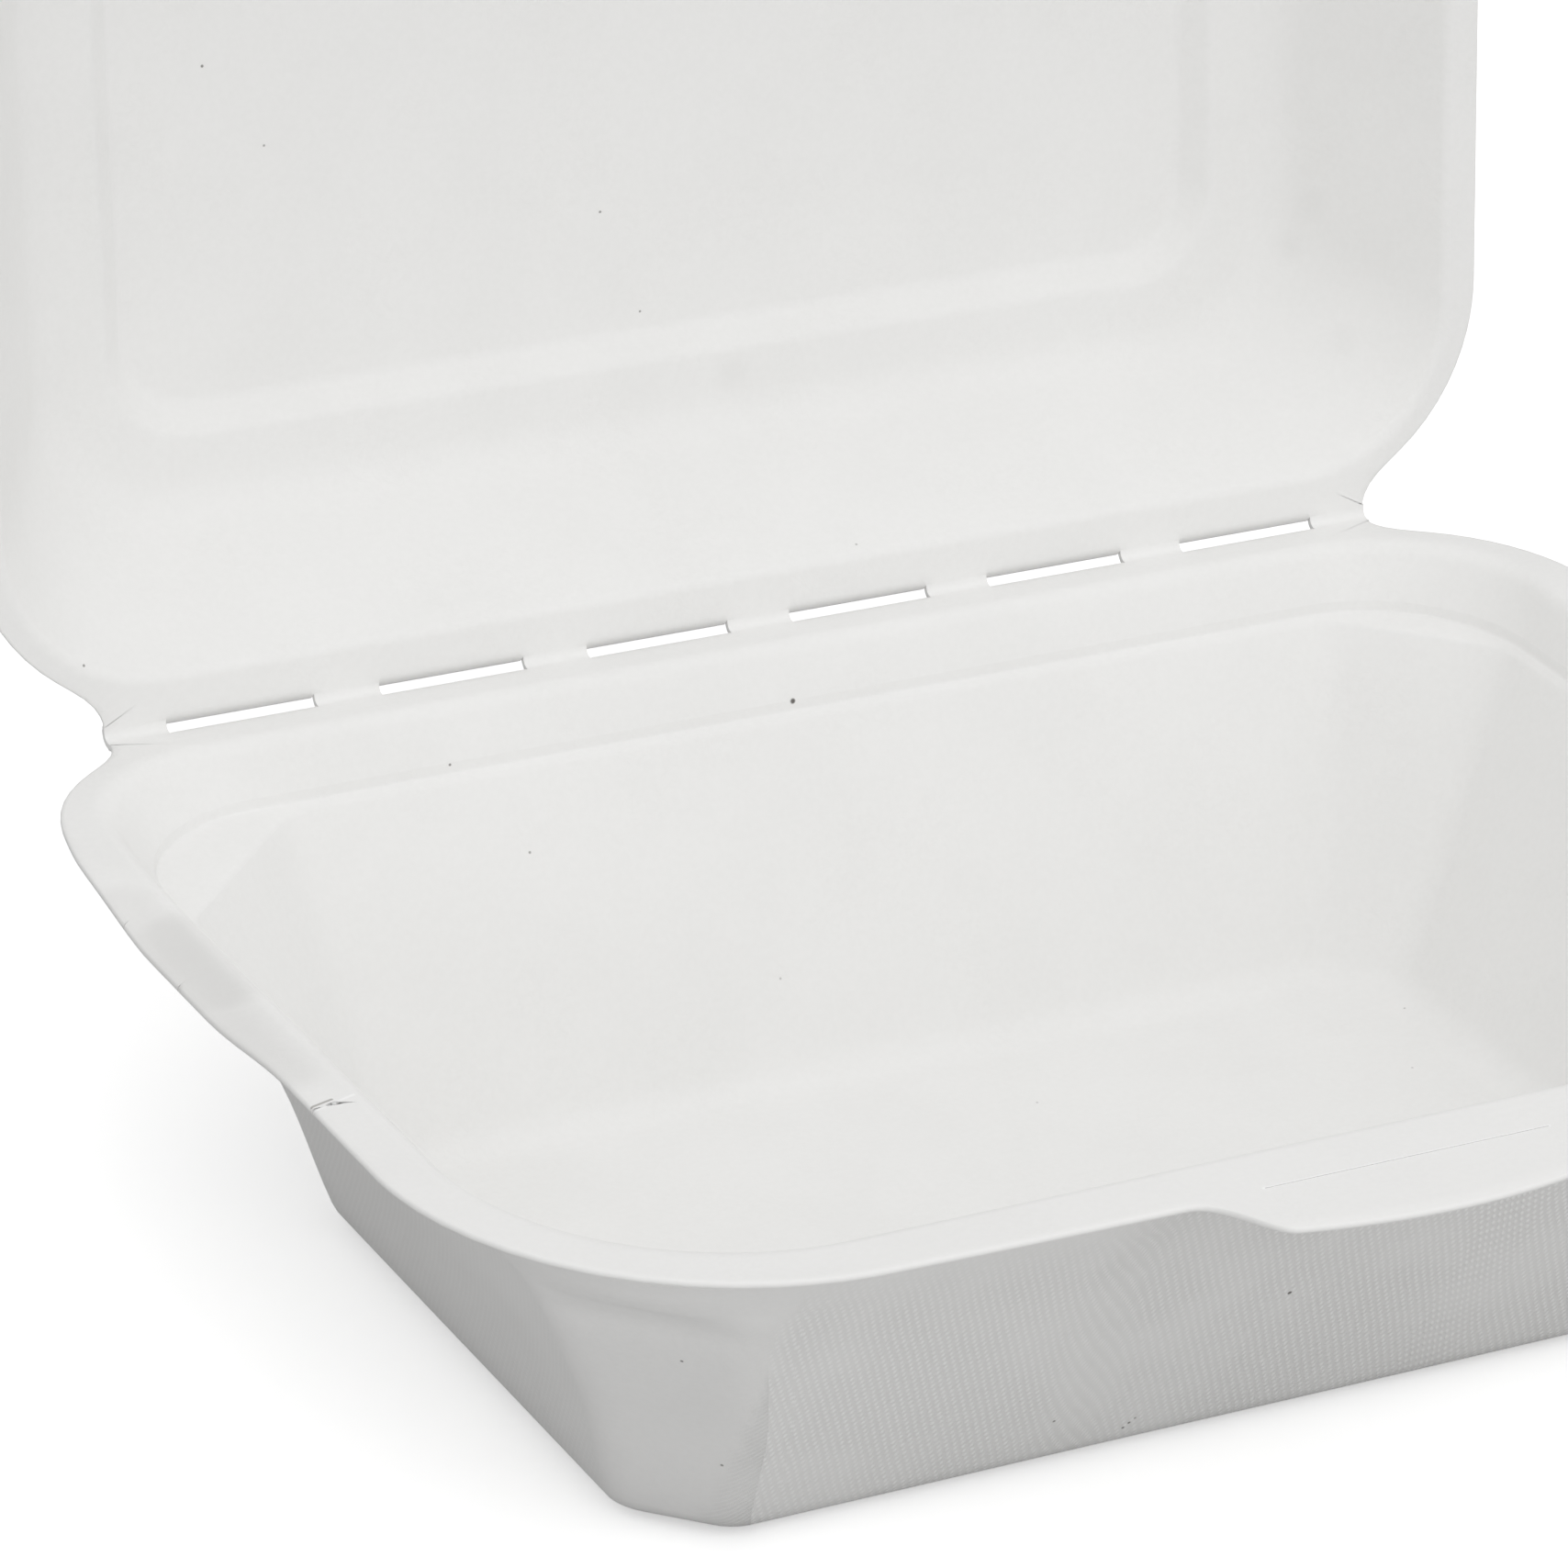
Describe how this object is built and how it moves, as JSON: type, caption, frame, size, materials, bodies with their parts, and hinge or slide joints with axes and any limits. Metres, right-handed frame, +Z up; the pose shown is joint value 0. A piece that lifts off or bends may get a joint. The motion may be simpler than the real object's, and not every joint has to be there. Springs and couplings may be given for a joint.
{
  "type": "takeaway food box",
  "caption": "Moulded-pulp takeaway box: a deep rectangular tray with a flat rim and a slit tab, and a shallow lid hinged along its rear edge, standing open.",
  "frame": {"origin": "middle of the tray's flat underside", "axes": "+Z up, +X along the fold line to the right as seen from the front, +Y from the front tab to the fold line"},
  "size_m": [0.1844, 0.1799, 0.1892],
  "materials": {
    "pulp_tray": "matt off-white moulded pulp, smooth inside, woven screen marks outside",
    "pulp_lid": "matt off-white moulded pulp, smooth inside, woven screen marks outside"
  },
  "bodies": {
    "tray": {"tray": "pulp_tray"},
    "lid": {"lid": "pulp_lid"}
  },
  "joints": [
    {"name": "lid_fold", "type": "hinge", "parent": "tray", "child": "lid", "pos_m": [0, 0.0675, 0.04395], "axis": [1, 0, 0], "range_deg": [-84, 96]}
  ]
}
